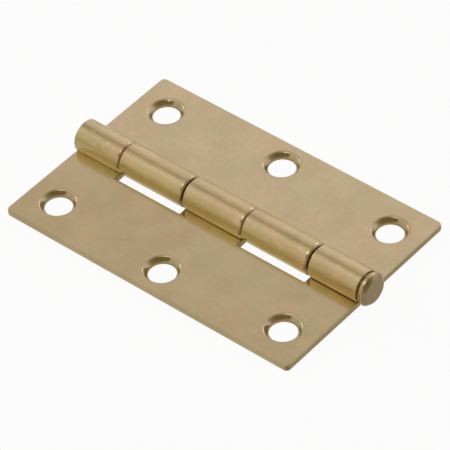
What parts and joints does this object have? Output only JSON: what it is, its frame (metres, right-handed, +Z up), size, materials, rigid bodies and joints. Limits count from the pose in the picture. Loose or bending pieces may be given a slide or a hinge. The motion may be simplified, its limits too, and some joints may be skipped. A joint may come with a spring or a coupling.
{
  "type": "butt hinge",
  "caption": "Flat butt hinge of brass-plated sheet steel with rolled knuckles, staggered countersunk screw holes and a headed draw-out pin, for hanging a small door or lid.",
  "frame": {"origin": "on the back face of the three-knuckle leaf, midway along it and straight under the pin's axis", "axes": "+X along the pin towards its head, +Y across to the two-knuckle leaf, +Z up from the leaves' back faces to the countersunk faces"},
  "size_m": [0.0786, 0.0508, 0.0075],
  "materials": {
    "leaf_plating": "satin",
    "pin_plating": "satin"
  },
  "bodies": {
    "three_knuckle_leaf": {"three_knuckle_leaf": "leaf_plating"},
    "two_knuckle_leaf": {"two_knuckle_leaf": "leaf_plating"},
    "pin": {"hinge_pin": "pin_plating"}
  },
  "joints": [
    {"name": "leaf_swing", "type": "hinge", "parent": "three_knuckle_leaf", "child": "two_knuckle_leaf", "pos_m": [0, 0, 0.00375], "axis": [1, 0, 0], "range_deg": [-100, 188]},
    {"name": "pin_draw", "type": "slide", "parent": "three_knuckle_leaf", "child": "pin", "axis": [1, 0, 0], "range_m": [-0.0003, 0.078]}
  ]
}
